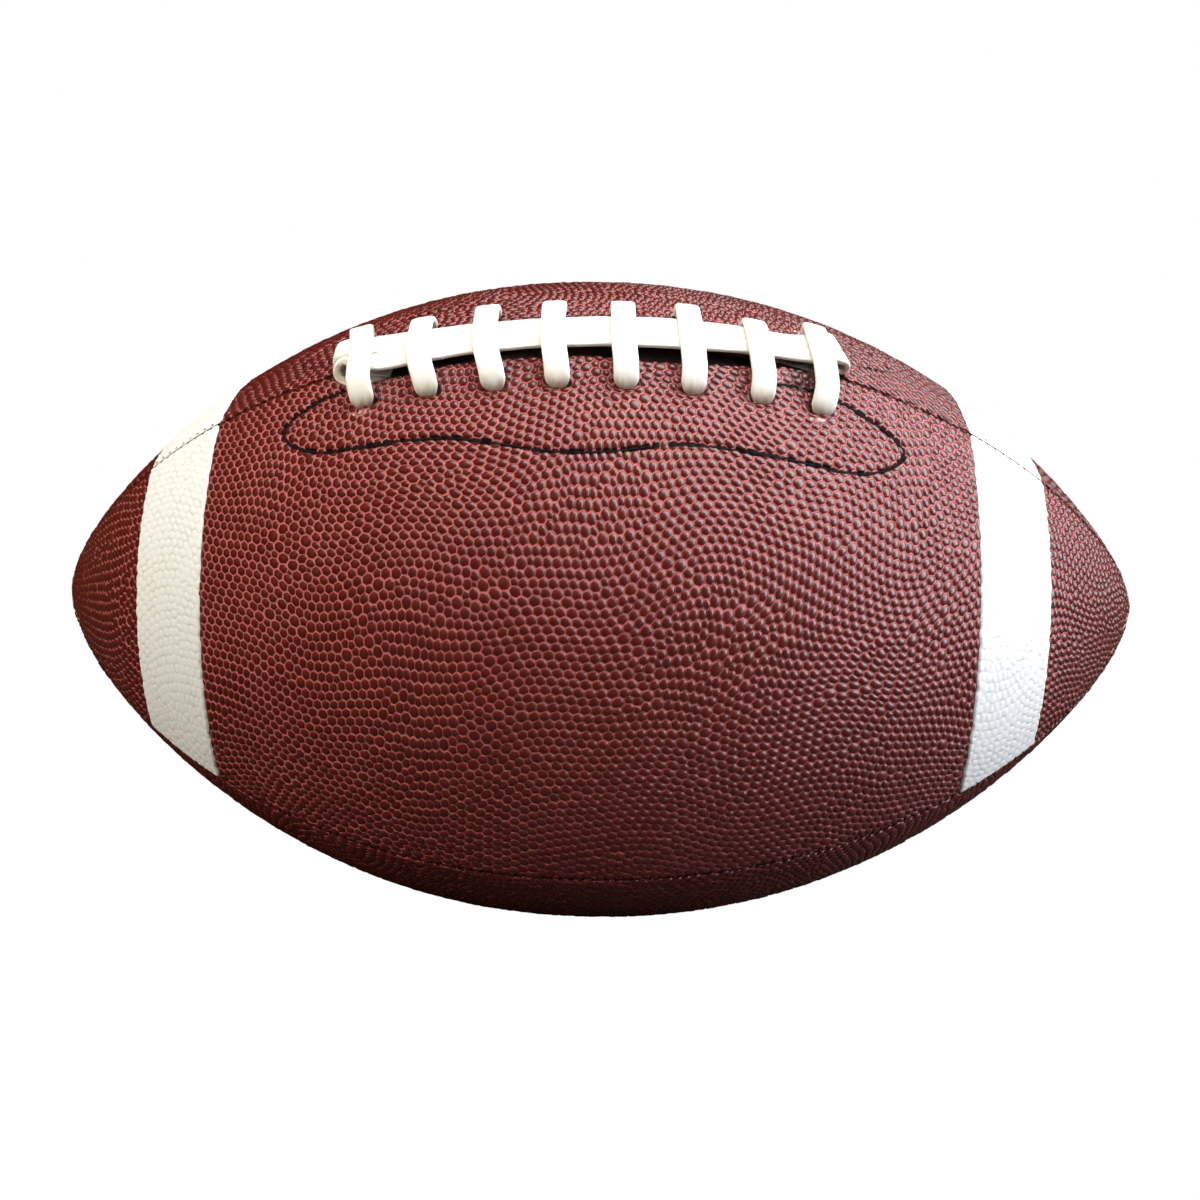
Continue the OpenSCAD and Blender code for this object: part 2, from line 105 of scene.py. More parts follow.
def piece(name, points, faces, **shades):
    """A smooth mesh from arrays of points in millimetres and faces, with values kept at its points."""
    mesh = bpy.data.meshes.new(name)
    mesh.vertices.add(len(points))
    mesh.vertices.foreach_set("co", (np.asarray(points) * 0.001).astype(np.float32).ravel())
    corners = np.concatenate([f.ravel() for f in faces]).astype(np.int32)
    counts = np.concatenate([np.full(len(f), f.shape[1]) for f in faces])
    mesh.loops.add(len(corners))
    mesh.loops.foreach_set("vertex_index", corners)
    mesh.polygons.add(len(counts))
    mesh.polygons.foreach_set("loop_start", (np.cumsum(counts) - counts).astype(np.int32))
    mesh.update(calc_edges=True)
    mesh.validate()
    mesh.shade_smooth()
    for key, values in shades.items():
        mesh.attributes.new(key, "FLOAT", "POINT").data.foreach_set("value", values.astype(np.float32))
    made = bpy.data.objects.new(name, mesh)
    scene.collection.objects.link(made)
    return made


def grid(rows, columns):
    """The faces of a sheet whose points lie in rows."""
    corner = (np.arange(rows - 1)[:, None] * columns + np.arange(columns - 1)[None]).ravel()
    return np.stack([corner, corner + 1, corner + columns + 1, corner + columns], 1)


def spin(points, quarters):
    """Points turned about the ball's length by quarters of a turn."""
    c, s = math.cos(math.pi / 2 * quarters), math.sin(math.pi / 2 * quarters)
    x, y, z = points.T
    return np.stack([x, y * c - z * s, y * s + z * c], 1)


def edge_of(panel, x, side):
    """Distance from the seam's plane to the leather's edge."""
    table = near_slit if panel == "panel_front" else far_slit
    return np.where(side == lace_side[panel], np.interp(x, *table), seam_gap)


def round_of(x, gap):
    """Radius of the turned edge, smaller at the tips and along the opening."""
    room = np.interp(x, along, girth_line) * seam_share * 0.45
    return np.maximum(np.minimum(np.where(gap > open_gap, 0.7, shoulder), room), 0.02)


def flap_of(panel, x, side):
    """How far the leather goes on past its turned edge."""
    flap = np.where(edge_of(panel, x, side) > open_gap, flap_open, flap_sewn)
    return np.minimum(flap, 0.6 * np.interp(x, along, girth_line))


def flat_edge(panel, s, side):
    """Where on the flat panel its edge starts to turn in, and the radius of the turn."""
    x = np.interp(s, arc_line, along)
    rho = np.interp(x, along, girth_line) + axis_drop
    gap = edge_of(panel, x, side)
    turn = round_of(x, gap)
    reach = np.clip((turn + gap + axis_drop * seam_share) / rho, -1, 1)
    return rho * np.maximum(np.arccos(reach) - math.pi / 4, 0), turn


def lay(panel, s, t, rise):
    """Lays points of the flat panel on the ball: s along it, t across it, and rise out of its face."""
    x = np.clip(np.interp(s, arc_line, along), -tip_stop, tip_stop)
    rho = np.interp(x, along, girth_line) + axis_drop
    side = np.where(t < 0, -1.0, 1.0)
    start, turn = flat_edge(panel, s, side)
    phi = np.minimum(np.abs(t), start) / rho
    past = np.maximum(np.abs(t) - start, 0)
    angle = np.minimum(past / turn, math.pi / 2)
    out = turn * np.sin(angle)
    deep = np.minimum(past - turn * math.pi / 2, 0.72 * (rho - axis_drop))
    down = turn * (1 - np.cos(angle)) + np.maximum(deep, 0)
    y = rho * np.sin(phi) + (out - down) * seam_share
    z = rho * np.cos(phi) - axis_drop - (out + down) * seam_share
    lean = np.interp(x, along, lean_line)
    size = np.sqrt(1 + lean ** 2)
    flat = np.cos(angle)
    nx = -lean / size * flat
    ny = np.sin(phi) / size * flat + np.sin(angle) * seam_share
    nz = np.cos(phi) / size * flat - np.sin(angle) * seam_share
    rise = rise * np.clip((arc_end - np.abs(s)) / 4, 0, 1)
    points = np.stack([x + nx * rise, (y + ny * rise) * side, z + nz * rise], 1)
    return spin(points, quarter[panel])


def flat_place(panel, x, distance):
    """Where on the flat panel a place lies that is given by its distance from the laced seam."""
    rho = np.interp(x, along, girth_line) + axis_drop
    phi = np.arccos((distance + axis_drop * seam_share) / rho) - math.pi / 4
    return np.interp(x, along, arc_line), lace_side[panel] * rho * phi


def facing_line(panel):
    """The stitched outline of the facing behind the lacing, on the flat panel."""
    path = np.array(facing_places)
    reach = np.concatenate([[0], np.cumsum(np.hypot(*np.diff(path, axis=0).T))])
    at = np.linspace(0, reach[-1], 900)
    smooth = np.stack([np.interp(at, reach, path[:, k]) for k in (0, 1)], 1)
    window = np.hanning(41)
    window /= window.sum()
    padded = np.concatenate([smooth[:1].repeat(20, 0), smooth, smooth[-1:].repeat(20, 0)])
    smooth = np.stack([np.convolve(padded[:, k], window, "valid") for k in (0, 1)], 1)
    return np.stack(flat_place(panel, smooth[:, 0], smooth[:, 1]), 1)


def nearest(points, line):
    """Distance of each point to the nearest of a line's points."""
    best = np.full(len(points), 99.0)
    for part in np.array_split(np.arange(len(points)), max(1, len(points) // 4000)):
        gap = points[part, None] - line[None]
        best[part] = np.sqrt((gap ** 2).sum(2).min(1))
    return best


def pebble_sites(panel, seed):
    """Middles of the pebbles: rows that wander, each pebble a little out of line, then evened out."""
    chance = np.random.default_rng(seed)
    row = pebble_pitch * math.sqrt(0.75) * 1.06
    i, j = np.meshgrid(np.arange(-96, 97), np.arange(-54, 55))
    start = np.cumsum(chance.uniform(0.3, 0.7, 109))
    s = ((i + start[:, None] % 1) * pebble_pitch / 1.06).ravel()
    t = (j * row).ravel().astype(float)
    for wave in (110, 84, 66, 52, 41, 33):
        way, phase = chance.uniform(0, 2 * math.pi, 2)
        swing = 0.038 * wave * np.sin((s * math.cos(way) + t * math.sin(way)) * 2 * math.pi / wave + phase)
        s, t = s - swing * math.sin(way), t + swing * math.cos(way)
    s += chance.normal(0, 0.1 * pebble_pitch, len(s))
    t += chance.normal(0, 0.1 * pebble_pitch, len(t))
    start, turn = flat_edge(panel, s, np.where(t < 0, -1.0, 1.0))
    keep = (np.abs(t) < start + 14) & (np.abs(s) < arc_end + 8)
    sites = np.stack([s[keep], t[keep]], 1)
    for _ in range(3):
        found = delaunay_2d_cdt([Vector(p) for p in sites], [], [], 0, 1e-6)
        triangles = np.array([f for f in found[2] if len(f) == 3])
        sites = np.array([list(v) for v in found[0]])
        middle = sites[triangles].mean(1)
        near = np.bincount(triangles.ravel(), minlength=len(sites))
        mean = np.stack([np.bincount(triangles.ravel(), middle[:, k].repeat(3), len(sites))
                         for k in (0, 1)], 1)
        inside = (near > 2) & (np.hypot(*(mean / np.maximum(near, 1)[:, None] - sites).T) < 1)
        sites[inside] += 0.55 * (mean[inside] / near[inside, None] - sites[inside])
    s, t = sites.T
    side = np.where(t < 0, -1.0, 1.0)
    start, turn = flat_edge(panel, s, side)
    x = np.interp(s, arc_line, along)
    keep = np.abs(t) < start + turn * math.pi / 2 + flap_of(panel, x, side)
    keep &= np.abs(s) < arc_end + 0.4
    return sites[keep]


def cells(sites):
    """The cell of each site, from the triangles between the sites: a rim shared with its neighbours, a
    shoulder, a top ring and a middle. Returns points, faces, each point's site and its level from 0 to 3."""
    found = delaunay_2d_cdt([Vector(p) for p in sites], [], [], 0, 1e-6)
    triangles = np.array([f for f in found[2] if len(f) == 3])
    places = np.array([list(v) for v in found[0]])
    a, b, c = (places[triangles[:, k]] for k in (0, 1, 2))
    longest = np.max([np.hypot(*(p - q).T) for p, q in ((a, b), (b, c), (c, a))], 0)
    fine = longest < 2.3 * pebble_pitch
    triangles = triangles[fine]
    rim = (a + b + c)[fine] / 3
    count = len(triangles)
    site = triangles.ravel()
    rim_of = np.arange(count).repeat(3)
    way = rim[rim_of] - places[site]
    order = np.lexsort((np.arctan2(way[:, 1], way[:, 0]), site))
    site, rim_of, way = site[order], rim_of[order], way[order]
    number = len(site)
    first = np.searchsorted(site, site, "left")
    last = np.searchsorted(site, site, "right") - 1
    after = np.where(np.arange(number) == last, first, np.arange(number) + 1)
    turned = np.arctan2(way[after, 1], way[after, 0]) - np.arctan2(way[:, 1], way[:, 0])
    open_step = (turned % (2 * math.pi)) > 3.1
    bad_sites = np.unique(site[open_step])
    good = ~np.isin(site, bad_sites)
    size = np.hypot(*way.T)
    mean = np.bincount(site, size, len(places)) / np.maximum(np.bincount(site, minlength=len(places)), 1)
    even = way / size[:, None] * (0.75 * size + 0.25 * mean[site])[:, None]
    outer = places[site] + even * 0.84
    inner = places[site] + even * 0.6
    points = np.concatenate([rim, outer, inner, places])
    one, two = np.arange(number)[good], after[good]
    quads = [np.stack([rim_of[one], rim_of[two], count + two, count + one], 1),
             np.stack([count + one, count + two, count + number + two, count + number + one], 1)]
    fan = np.stack([count + number + one, count + number + two, count + 2 * number + site[one]], 1)
    owner = np.concatenate([triangles[:, 0], site, site, np.arange(len(places))])
    level = np.array([0.0, 1.0, 2.0, 3.0]).repeat([count, number, number, len(places)])
    return points, quads + [fan], owner, level


def opened(points, middle):
    """Leather spread apart round a hole for the lace, which was a slit along the ball."""
    away = points - middle
    on_slit = np.stack([np.clip(away[:, 0], -slit_half, slit_half), np.zeros(len(away))], 1)
    away = away - on_slit
    gap = np.maximum(np.hypot(*away.T), 1e-6)
    wide = np.where(gap < hole_reach, hole_half + gap * (hole_reach - hole_half) / hole_reach, gap)
    return middle + on_slit + away * (wide / gap)[:, None], wide


sites_of = {}


def make_panel(panel, seed):
    """One leather panel: its pebbled skin, with holes and stitch lines pressed in, and its plain back."""
    sites = pebble_sites(panel, seed)
    sites_of[panel] = sites
    flat, faces, owner, level = cells(sites)
    chance = np.random.default_rng(seed + 50)
    tone = chance.uniform(0, 1, owner.max() + 1)[owner]
    high = np.clip(chance.normal(0.98, 0.12, owner.max() + 1), 0.7, 1.15)[owner]
    rise = (np.array([0.0, 0.5, 0.96, 1.0])[level.astype(int)] * high - 1.15) * pebble_rise
    pressed, stain = np.zeros(len(flat)), np.zeros(len(flat))
    x = np.interp(flat[:, 0], arc_line, along)
    side = lace_side[panel]
    scuff, painted_bar_shadow = np.zeros((2, len(flat)))
    if side:
        holes = list(zip(near_holes, near_reach) if side == 1 else zip(far_holes, far_reach))
        for place, reach in holes:
            middle = np.array(flat_place(panel, place, reach))
            flat, gap = opened(flat, middle)
            pressed += 0.45 * np.exp(-((gap - hole_half) / 0.5) ** 2) * (gap < hole_reach)
        for place, reach in (holes[0], holes[-1]):
            rubbed = flat_place(panel, place + np.array([-2.2, -0.8, 0.4]), reach + 3.1)
            scuff += np.exp(-nearest(flat, np.stack(rubbed, 1)) / 1.5)
        if side == 1:
            # A painted shadow of the last crossbar on the front panel, beside the end of the opening. It only
            # darkens the colour.
            from_bar_shadow = flat - np.array(flat_place(panel, 48.5, 3.4))
            painted_bar_shadow = 1.5 * np.exp(-(from_bar_shadow[:, 0] / 5) ** 2 - (from_bar_shadow[:, 1] / 3) ** 2)
        stitch = nearest(flat, facing_line(panel))
        stain = np.exp(-(stitch / 0.75) ** 2) * (0.55 + 0.6 * tone) * (1 if side == 1 else 0.6)
        pressed += 0.42 * np.exp(-(stitch / 0.7) ** 2)
        painted = np.abs(np.abs(x) - stripe_place) < painted_half
        rise = np.where(painted, 0.4 * rise - 0.3, rise)
    if panel == "panel_back":
        gap = np.maximum(np.hypot(*flat.T), 1e-6)
        pressed += np.clip(valve_hole - gap, 0, 2.3)
        faces = [f[(gap[f] > valve_hole - 2.4).any(1)] for f in faces]
        flat = flat * (np.maximum(gap, valve_hole) / gap)[:, None]
    points = lay(panel, flat[:, 0], flat[:, 1], rise - pressed)
    if panel == "panel_bottom":
        points[:, 2] = np.maximum(points[:, 2], -middle_radius + pressed_flat)
    if side:
        centre = [flat[f].mean(1) for f in faces]
        for place, reach in holes:
            middle = np.array(flat_place(panel, place, reach))
            for k, spots in enumerate(centre):
                off = np.abs(spots - middle)
                inside = np.hypot(np.maximum(off[:, 0] - slit_half, 0), off[:, 1]) < 0.85
                faces[k] = faces[k][~inside]
                centre[k] = spots[~inside]
    skin_count = len(points)
    inner = []
    for row in np.linspace(-arc_end + 0.05, arc_end - 0.05, back_rows):
        place = np.interp([row], arc_line, along)
        ends = []
        for way in (-1.0, 1.0):
            start, turn = flat_edge(panel, np.array([row]), np.array([way]))
            flap = flap_of(panel, place, np.array([way]))
            ends.append(way * (start + turn * math.pi / 2 + flap)[0])
        across = np.linspace(ends[0], ends[1], back_columns - 2)
        across = np.concatenate([[ends[0]], across, [ends[1]]])
        depth = np.full(back_columns, -min(leather_thick, 0.4 * np.interp(place[0], along, girth_line)))
        depth[[0, -1]] = -0.2
        inner.append(lay(panel, np.full(back_columns, row), across, depth))
    sheet = skin_count + grid(back_rows, back_columns)
    points = np.concatenate([points] + inner)
    if panel == "panel_back":
        sheet = sheet[np.hypot(points[sheet, 0], points[sheet, 2]).min(1) > valve_hole]
    faces.append(sheet)
    back = np.concatenate([np.zeros(skin_count), np.ones(len(points) - skin_count)])
    # The pressed depth and the painted shadow of the last crossbar are kept together as painted shade for the
    # colour.
    level, tone, pressed, stain, scuff = (np.pad(v, (0, len(back) - len(v)))
                                          for v in (level, tone, pressed + painted_bar_shadow, stain, scuff))
    made = piece("leather_" + panel[6:], points, faces, rise=np.minimum(level, 2) / 2, tone=tone,
                 dent=pressed, back=back, stain=stain, scuff=scuff)
    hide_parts(panel)
    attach(made, "root")
    return made


class Shade:
    """A value in a material. Sums and products on it add the Math nodes that work them out."""

    def __init__(self, tree, socket=None):
        self.tree, self.socket = tree, socket

    def node(self, kind, settings=None, sockets=None, out=0):
        made = self.tree.nodes.new("ShaderNode" + kind)
        for key, value in (settings or {}).items():
            setattr(made, key, value)
        for key, value in (sockets or {}).items():
            if isinstance(value, Shade):
                self.tree.links.new(made.inputs[key], value.socket)
            else:
                made.inputs[key].default_value = value
        return Shade(self.tree, made.outputs[out])

    def maths(self, operation, other=0.0, swapped=False):
        pair = {1: self, 0: other} if swapped else {0: self, 1: other}
        return self.node("Math", {"operation": operation}, pair)

    def __add__(self, other):
        return self.maths("ADD", other)

    def __mul__(self, other):
        return self.maths("MULTIPLY", other)

    def __sub__(self, other):
        return self.maths("SUBTRACT", other)

    def __rsub__(self, other):
        return self.maths("SUBTRACT", other, swapped=True)

    def between(self, low, high):
        """0 below low, 1 above high."""
        return self.node("MapRange", {"interpolation_type": "SMOOTHSTEP"},
                         {"Value": self, "From Min": low, "From Max": high})

    def mixed(self, first, second):
        """first where this value is 0, second where it is 1."""
        return self.node("Mix", {"data_type": "RGBA"}, {0: self, 6: first, 7: second}, 2)

    def place(self):
        """Where a point lies on the object, in metres."""
        return self.node("TexCoord", out="Object")

    def noise(self, scale, detail=3.0, rough=0.55):
        """Cloudy noise over the object, with this many lumps in a metre."""
        return self.node("TexNoise", {}, {
            "Vector": self.place(), "Scale": scale, "Detail": detail, "Roughness": rough}, "Fac")

    def kept(self, name):
        """A value kept at the mesh's points."""
        return self.node("Attribute", {"attribute_name": name}, out="Fac")


def finish(name, colour, roughness=0.5, bump=None, depth=0.0001, coat=None, **fixed):
    """A material whose colour, roughness, coat and bump come from functions of a Shade."""
    made = bpy.data.materials.new(name)
    made.use_nodes = True
    tree = made.node_tree
    shader = tree.nodes["Principled BSDF"]
    start = Shade(tree)
    for key, make in (("Base Color", colour), ("Roughness", roughness), ("Coat Weight", coat)):
        if callable(make):
            tree.links.new(shader.inputs[key], make(start).socket)
        elif make is not None:
            shader.inputs[key].default_value = make
    if bump:
        relief = start.node("Bump", {}, {"Height": bump(start), "Distance": depth, "Strength": 1.0})
        tree.links.new(shader.inputs["Normal"], relief.socket)
    for key, value in fixed.items():
        shader.inputs[key.replace("_", " ")].default_value = value
    return made


def pebble_height(v):
    """How high the leather's face lies between valley and top, with a ragged border."""
    return v.kept("rise") + v.noise(900, 2) * 0.2 - 0.1


def leather_colour(v):
    """Dark stained tops over lighter red valleys, with rubbed, scuffed and stained places, painted shade where the
    leather is pressed in and a painted shadow beside the last crossbar.
    """
    rise, tone, dent = v.kept("rise"), v.kept("tone"), v.kept("dent")
    blot = v.noise(38, 4)
    top = (tone * 0.6 + blot * 0.4).mixed((0.068, 0.0030, 0.0004, 1), (0.106, 0.0080, 0.0024, 1))
    web = blot.mixed((0.47, 0.114, 0.106, 1), (0.62, 0.188, 0.196, 1))
    body = pebble_height(v).between(0.24, 0.66).mixed(web, top)
    worn = (v.noise(60, 5) * rise).between(0.52, 0.9) * 0.25
    body = worn.mixed(body, (0.18, 0.030, 0.018, 1))
    # Darker towards both tips.
    from_middle = v.node("SeparateXYZ", {}, {"Vector": v.place()}, "X").maths("ABSOLUTE")
    body = (from_middle.between(0.106, 0.135) * 0.5).mixed(body, (0.105, 0.017, 0.007, 1))
    # Painted shade where the leather is pressed round the holes, along the facing's stitches and round the valve,
    # and the painted shadow of the last crossbar.
    body = (dent.between(0.3, 0.9) * 0.6).mixed(body, (0.034, 0.007, 0.005, 1))
    body = (v.kept("scuff") + v.noise(800, 2) * 0.5).between(0.86, 1.02).mixed(body, (0.60, 0.40, 0.36, 1))
    body = (v.kept("stain") + v.noise(700, 2) * 0.3).between(0.50, 0.72).mixed(body, (0.010, 0.005, 0.005, 1))
    flesh = v.noise(700, 5).mixed((0.30, 0.16, 0.10, 1), (0.42, 0.25, 0.17, 1))
    return v.kept("back").mixed(body, flesh)


leather = finish(
    "pebbled_leather",
    leather_colour,
    lambda v: v.noise(300, 3) * 0.15 + 0.5,
    lambda v: v.noise(2600, 4, 0.65) + v.noise(700, 2) * 1.2,
    0.00005,
    lambda v: (pebble_height(v).between(0.45, 0.9) * 0.65 + 0.35) * (1.0 - v.kept("stain").between(0.3, 0.6)),
    Specular_IOR_Level=0.04,
    Coat_Roughness=0.34,
    Coat_IOR=1.68,
)
for k, panel in enumerate(quarter):
    skin = make_panel(panel, 11 + 7 * k)
    skin.data.materials.append(leather)


# Painted stripes
# Two white stripes on each panel beside the lacing, 20 mm wide along the ball. They are a thick coat of
# flexible paint, through which the pebbles show softly, and it runs over the leather's edge at the seams.

stripe_width = 20.2
stripe_rows, stripe_columns = 380, 66


def make_stripe(panel, end):
    """The paint on one panel at one end, with the panel's own pebbles under it."""
    sites = sites_of[panel]
    chance = np.random.default_rng(5)
    columns = np.linspace(-1, 1, stripe_columns)
    reach = []
    for way in (-1.0, 1.0):
        start, turn = flat_edge(panel, np.interp([end * stripe_place], along, arc_line), np.array([way]))
        reach.append((start + turn * 0.9)[0])
    across = np.linspace(-reach[0], reach[1], stripe_rows)
    grid_x = end * stripe_place + columns[None] * stripe_width / 2 + np.zeros((stripe_rows, 1))
    for wave in (3.1, 4.3, 7.9):
        for way in (-1, 1):
            edge = 0.07 * np.sin(across * 2 * math.pi / wave + chance.uniform(0, 6.28))[:, None]
            grid_x += edge * np.clip(1 - np.abs(columns[None] - way) / 0.3, 0, 1)
    grid_s = np.interp(grid_x, along, arc_line)
    spread = []
    for k, way in enumerate((-1.0, 1.0)):
        start, turn = flat_edge(panel, grid_s.ravel(), np.full(grid_s.size, way))
        spread.append(((start + turn * 0.9) / reach[k]).reshape(grid_s.shape))
    grid_t = across[:, None] * np.where(across[:, None] < 0, spread[0], spread[1])
    flat = np.stack([grid_s.ravel(), grid_t.ravel()], 1)
    local = sites[np.abs(sites[:, 0] - end * abs(np.interp(stripe_place, along, arc_line))) < 20]
    height = np.zeros(len(flat))
    for part in np.array_split(np.arange(len(flat)), 60):
        near = local[(local[:, 1] > flat[part, 1].min() - 4) & (local[:, 1] < flat[part, 1].max() + 4)]
        gap = np.hypot(flat[part, None, 0] - near[None, :, 0], flat[part, None, 1] - near[None, :, 1])
        gap = np.sort(gap, 1)
        border = np.clip((gap[:, 1] - gap[:, 0]) / (0.42 * pebble_pitch), 0, 1)
        s, t = flat[part].T
        filled = 0.65 + 0.35 * np.sin(0.9 * s + 1.4 * np.sin(0.8 * t)) * np.sin(1.1 * t + 1.2 * np.sin(0.7 * s))
        height[part] = 1 - (1 - border * border * (3 - 2 * border)) * filled
    rise = -0.09 + 0.16 * height
    rim = np.tile(np.abs(columns) > 0.999, stripe_rows)
    start, turn = flat_edge(panel, flat[:, 0], np.where(flat[:, 1] < 0, -1.0, 1.0))
    from_hole = (flat[:, 0] + stitch_step / 2) % stitch_step - stitch_step / 2
    spot = np.hypot(from_hole, np.abs(flat[:, 1]) - start - 0.1)
    dots = np.clip(1.6 - spot / 0.3, 0, 1)
    points = lay(panel, flat[:, 0], flat[:, 1], np.where(rim, -0.4, rise))
    name = "stripe_" + panel[6:] + ("_left" if end < 0 else "_right")
    made = piece("paint_" + name[7:], points, [grid(stripe_rows, stripe_columns)], rise=height, dots=dots)
    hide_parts(name)
    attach(made, "root")
    return made


stripe_paint = finish(
    "stripe_paint",
    # The paint is darker in the grooves between the pebbles, which is painted shade, cloudy from place to place
    # and dark at the stitch holes.
    lambda v: v.kept("dots").between(0.2, 0.8).mixed(
        (v.kept("rise") * 0.7 + v.noise(90, 4) * 0.5).between(0.1, 0.9).mixed(
            (0.70, 0.68, 0.62, 1), (0.86, 0.85, 0.83, 1)), (0.05, 0.04, 0.035, 1)),
    lambda v: v.noise(500, 3) * 0.2 + 0.34,
    lambda v: v.noise(1800, 4, 0.6),
    0.00006,
)
for panel in ("panel_front", "panel_top"):
    for end in (-1, 1):
        make_stripe(panel, end).data.materials.append(stripe_paint)


# Lace
# One flat lace of white vinyl, 5.6 mm wide and 1.8 mm thick, a little less where it is pulled tight. Two
# strands of it lie over the opening and fold over at its ends. Eight crossbars go over them and down
# through holes, narrower where they enter.

lace_width = 5.55
lace_thick = 1.7
lace_sides = 40
bar_count = 8
bar_radius = 4.6
bar_rise = [2.8, 2.5, 2.5, 2.5, 2.5, 2.5, 2.5, 3.1]
run_depth = 4.85
bar_middles = np.array([-51.3, -38.2, -23.3, -8.2, 7.2, 22.2, 37.2, 51.4])
lace_points, lace_faces, lace_foot = [], [], []


def roof(x, y, depth=0.0):
    """Height of the ball's face, or of a layer below it, at a distance y from the laced seam."""
    radius = np.interp(x, along, girth_line) - depth + axis_drop
    return np.sqrt(radius ** 2 - (np.abs(y) + axis_drop * seam_share) ** 2) - axis_drop * seam_share


def ridge(x):
    """Height of the laced seam."""
    return roof(x, 0.0)


def fall(x):
    """Angle by which the laced seam falls at a place along the ball."""
    return np.arctan2(ridge(x - 1) - ridge(x + 1), 2.0)


def even(path, count):
    """The same path with this many points, evenly far apart."""
    path = np.asarray(path, float)
    far = np.concatenate([[0], np.cumsum(np.sqrt((np.diff(path, axis=0) ** 2).sum(1)))])
    at = np.linspace(0, far[-1], count)
    return np.stack([np.interp(at, far, path[:, k]) for k in range(path.shape[1])], 1)


def walls(count, sides):
    """The faces between rings of points."""
    i, j = np.meshgrid(np.arange(count - 1), np.arange(sides), indexing="ij")
    i, j = i.ravel(), j.ravel()
    k = (j + 1) % sides
    return np.stack([i * sides + j, i * sides + k, (i + 1) * sides + k, (i + 1) * sides + j], 1)


def ribbon(path, across, width, thick=lace_thick, square=4.0, foot=0.0):
    """A plump flat band along a path, with its width along across, rounded edges and painted shade kept at its
    points.
    """
    count = len(path)
    along_it = np.gradient(path, axis=0)
    along_it /= np.sqrt((along_it ** 2).sum(1))[:, None]
    across = np.broadcast_to(across, path.shape)
    across = across - along_it * (across * along_it).sum(1)[:, None]
    across /= np.sqrt((across ** 2).sum(1))[:, None]
    out = np.cross(across, along_it)
    turn = np.linspace(0, 2 * math.pi, lace_sides, endpoint=False)
    turn = turn - 0.22 * np.sin(4 * turn)
    u = np.sign(np.cos(turn)) * np.abs(np.cos(turn)) ** (2 / square)
    v = np.sign(np.sin(turn)) * np.abs(np.sin(turn)) ** (2 / square)
    width = np.broadcast_to(width, count)[:, None, None] / 2
    thick = np.broadcast_to(thick, count)[:, None, None] / 2
    rings = path[:, None] + across[:, None] * u[None, :, None] * width
    rings = rings + out[:, None] * v[None, :, None] * thick
    base = sum(len(p) for p in lace_points)
    points = np.concatenate([rings.reshape(-1, 3), path[:1], path[-1:]])
    j = np.arange(lace_sides)
    k = (j + 1) % lace_sides
    start, stop = count * lace_sides, (count - 1) * lace_sides
    first = np.stack([k, j, np.full(lace_sides, start)], 1)
    last = np.stack([stop + j, stop + k, np.full(lace_sides, start + 1)], 1)
    foot = np.broadcast_to(foot, count)
    lace_foot.append(np.concatenate([foot.repeat(lace_sides), foot[:1], foot[-1:]]))
    lace_points.append(points)
    lace_faces.append((walls(count, lace_sides) + base, first + base, last + base))


chance = np.random.default_rng(3)
arcs = np.linspace(0, math.pi / 2, 14)
for number in range(bar_count):
    x, tilt = bar_middles[number], fall(bar_middles[number])
    line = []
    for way, reach in ((1, far_reach[number]), (-1, near_reach[number])):
        half = [(way * reach, -bar_rise[number] - run_depth - 3.0)]
        half += [(way * (reach - bar_radius + bar_radius * math.cos(a)), -bar_radius + bar_radius * math.sin(a))
                 for a in arcs]
        line += half[::way]
    y, z = even(line, 110).T
    flat_y = near_reach[number] - bar_radius
    z = z + bar_rise[number] - 0.4 * np.clip(np.abs(y) / flat_y, 0, 1) ** 2
    foot_near = (near_holes[number] - x + 2.2 * math.sin(tilt)) / math.cos(tilt)
    foot_far = (far_holes[number] - x + 2.2 * math.sin(tilt)) / math.cos(tilt)
    bend = 3.4 if number > 4 else 0.0
    share = np.clip(np.abs(y) / np.where(y < 0, near_reach[number], far_reach[number] - bend), 0, 1)
    off = np.where(y < 0, foot_near, foot_far) * share ** 1.3
    y = y + 0.4 * np.sin(np.clip(z, -3, 2))
    lift = z + (bar_rise[number] - z) * (y > 0) * (1.0 if number in (0, bar_count - 1) else 0.0)
    spot = np.stack([x + off * math.cos(tilt) + lift * math.sin(tilt), y,
                     ridge(x) - off * math.sin(tilt) + z * math.cos(tilt)], 1)
    above = np.clip((z + 2.7) / 2.3, 0, 1)
    width = (lace_width + chance.normal(0, 0.05)) * np.sqrt(1 - 0.78 * (1 - above) ** 2)
    # The lower ends of the bars get painted shade with a painted warm reflection of the leather.
    ribbon(spot, (math.cos(tilt), 0, -math.sin(tilt)), width, lace_thick + 0.5 * (1 - above),
           foot=np.clip((1.6 - z) / 3.6, 0, 1))

